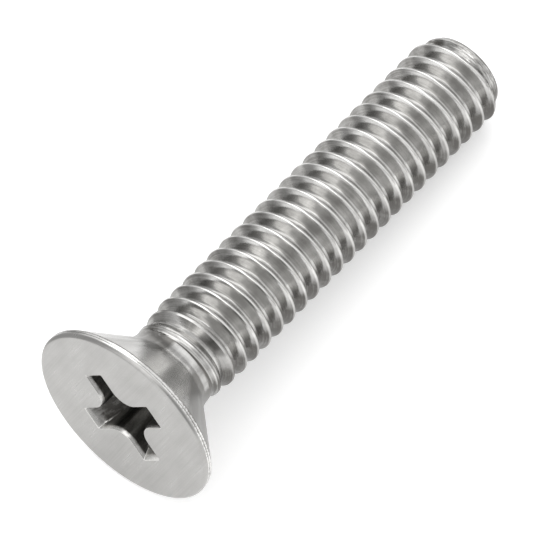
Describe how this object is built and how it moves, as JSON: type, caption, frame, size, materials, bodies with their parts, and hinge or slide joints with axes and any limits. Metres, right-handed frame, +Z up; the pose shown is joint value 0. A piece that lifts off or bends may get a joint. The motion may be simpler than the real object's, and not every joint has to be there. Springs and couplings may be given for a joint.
{
  "type": "countersunk screw",
  "caption": "Fully threaded metric machine screw with a flat countersunk head and a cross recess, lying at rest on its rim and thread.",
  "frame": {"origin": "centre of the bounding box on the surface that the screw lies on", "axes": "+Z up; the screw lies along X with its head at -X and its tip at +X, dipping towards the tip by the angle at which it rests on its rim and its last full crest"},
  "size_m": [0.0204, 0.0076, 0.0077],
  "materials": {
    "stainless_steel": "rolled and turned austenitic stainless steel, satin face with fine straight lines, bright crests, darker in the thread roots and the recess"
  },
  "bodies": {
    "root": {"screw": "stainless_steel"}
  },
  "joints": []
}
